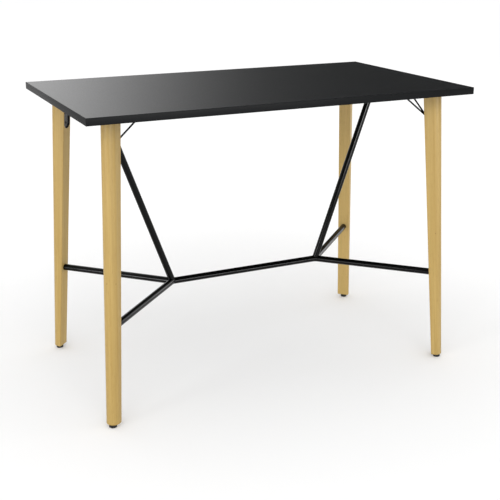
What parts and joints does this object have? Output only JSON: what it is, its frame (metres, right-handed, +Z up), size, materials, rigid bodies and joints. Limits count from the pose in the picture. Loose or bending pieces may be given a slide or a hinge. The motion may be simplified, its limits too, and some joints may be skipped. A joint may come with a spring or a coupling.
{
  "type": "standing meeting table",
  "caption": "High standing meeting table: black laminate top on splayed beech legs, stiffened by V-shaped corner stays and a black steel tube foot rail, on levelling feet.",
  "frame": {"origin": "on the floor under the middle of the top", "axes": "+X along the length, +Y to the back, +Z up"},
  "size_m": [1.4, 0.8, 1.045],
  "materials": {
    "black_laminate_board": "chipboard faced with satin black laminate",
    "black_edge_band": "fine matt black edge strip",
    "beech": "clear satin lacquer on straight-grained beech",
    "black_powder_coat": "satin black powder coat on steel",
    "zinc_steel": "bright zinc plated steel",
    "black_nylon": "moulded black nylon"
  },
  "bodies": {
    "table": {"top_panel": "black_laminate_board", "edge_band_front": "black_edge_band", "edge_band_back": "black_edge_band", "edge_band_left": "black_edge_band", "edge_band_right": "black_edge_band", "long_rail": "black_powder_coat", "strut_left": "black_powder_coat", "strut_plate_left": "black_powder_coat", "strut_screw_left_1": "zinc_steel", "strut_screw_left_2": "zinc_steel", "strut_right": "black_powder_coat", "strut_plate_right": "black_powder_coat", "strut_screw_right_1": "zinc_steel", "strut_screw_right_2": "zinc_steel", "leg_front_left": "beech", "corner_plate_front_left": "black_powder_coat", "leg_tab_front_left": "black_powder_coat", "stay_front_left": "black_powder_coat", "arm_front_left": "black_powder_coat", "tab_bolt_front_left": "black_powder_coat", "plate_screw_front_left_1": "zinc_steel", "plate_screw_front_left_2": "zinc_steel", "glide_insert_front_left": "zinc_steel", "leg_front_right": "beech", "corner_plate_front_right": "black_powder_coat", "leg_tab_front_right": "black_powder_coat", "stay_front_right": "black_powder_coat", "arm_front_right": "black_powder_coat", "tab_bolt_front_right": "black_powder_coat", "plate_screw_front_right_1": "zinc_steel", "plate_screw_front_right_2": "zinc_steel", "glide_insert_front_right": "zinc_steel", "leg_back_left": "beech", "corner_plate_back_left": "black_powder_coat", "leg_tab_back_left": "black_powder_coat", "stay_back_left": "black_powder_coat", "arm_back_left": "black_powder_coat", "tab_bolt_back_left": "black_powder_coat", "plate_screw_back_left_1": "zinc_steel", "plate_screw_back_left_2": "zinc_steel", "glide_insert_back_left": "zinc_steel", "leg_back_right": "beech", "corner_plate_back_right": "black_powder_coat", "leg_tab_back_right": "black_powder_coat", "stay_back_right": "black_powder_coat", "arm_back_right": "black_powder_coat", "tab_bolt_back_right": "black_powder_coat", "plate_screw_back_right_1": "zinc_steel", "plate_screw_back_right_2": "zinc_steel", "glide_insert_back_right": "zinc_steel"},
    "pad_front_left": {"glide_pad_front_left": "black_nylon"},
    "stud_front_left": {"glide_stud_front_left": "zinc_steel"},
    "pad_front_right": {"glide_pad_front_right": "black_nylon"},
    "stud_front_right": {"glide_stud_front_right": "zinc_steel"},
    "pad_back_left": {"glide_pad_back_left": "black_nylon"},
    "stud_back_left": {"glide_stud_back_left": "zinc_steel"},
    "pad_back_right": {"glide_pad_back_right": "black_nylon"},
    "stud_back_right": {"glide_stud_back_right": "zinc_steel"}
  },
  "joints": [
    {"name": "foot_slide_front_left", "type": "slide", "parent": "table", "child": "pad_front_left", "axis": [0, 0, -1], "range_m": [0, 0.0101]},
    {"name": "foot_turn_front_left", "type": "hinge", "parent": "pad_front_left", "child": "stud_front_left", "pos_m": [-0.653, -0.353, 0.0105], "axis": [0, 0, -1], "range_deg": [0, 2880]},
    {"name": "foot_slide_front_right", "type": "slide", "parent": "table", "child": "pad_front_right", "axis": [0, 0, -1], "range_m": [0, 0.0101]},
    {"name": "foot_turn_front_right", "type": "hinge", "parent": "pad_front_right", "child": "stud_front_right", "pos_m": [0.653, -0.353, 0.0105], "axis": [0, 0, -1], "range_deg": [0, 2880]},
    {"name": "foot_slide_back_left", "type": "slide", "parent": "table", "child": "pad_back_left", "axis": [0, 0, -1], "range_m": [0, 0.0101]},
    {"name": "foot_turn_back_left", "type": "hinge", "parent": "pad_back_left", "child": "stud_back_left", "pos_m": [-0.653, 0.353, 0.0105], "axis": [0, 0, -1], "range_deg": [0, 2880]},
    {"name": "foot_slide_back_right", "type": "slide", "parent": "table", "child": "pad_back_right", "axis": [0, 0, -1], "range_m": [0, 0.0101]},
    {"name": "foot_turn_back_right", "type": "hinge", "parent": "pad_back_right", "child": "stud_back_right", "pos_m": [0.653, 0.353, 0.0105], "axis": [0, 0, -1], "range_deg": [0, 2880]}
  ],
  "couplings": [
    {"joint": "foot_slide_front_left", "follows": "foot_turn_front_left", "m_per_rad": 0.00019894},
    {"joint": "foot_slide_front_right", "follows": "foot_turn_front_right", "m_per_rad": 0.00019894},
    {"joint": "foot_slide_back_left", "follows": "foot_turn_back_left", "m_per_rad": 0.00019894},
    {"joint": "foot_slide_back_right", "follows": "foot_turn_back_right", "m_per_rad": 0.00019894}
  ]
}
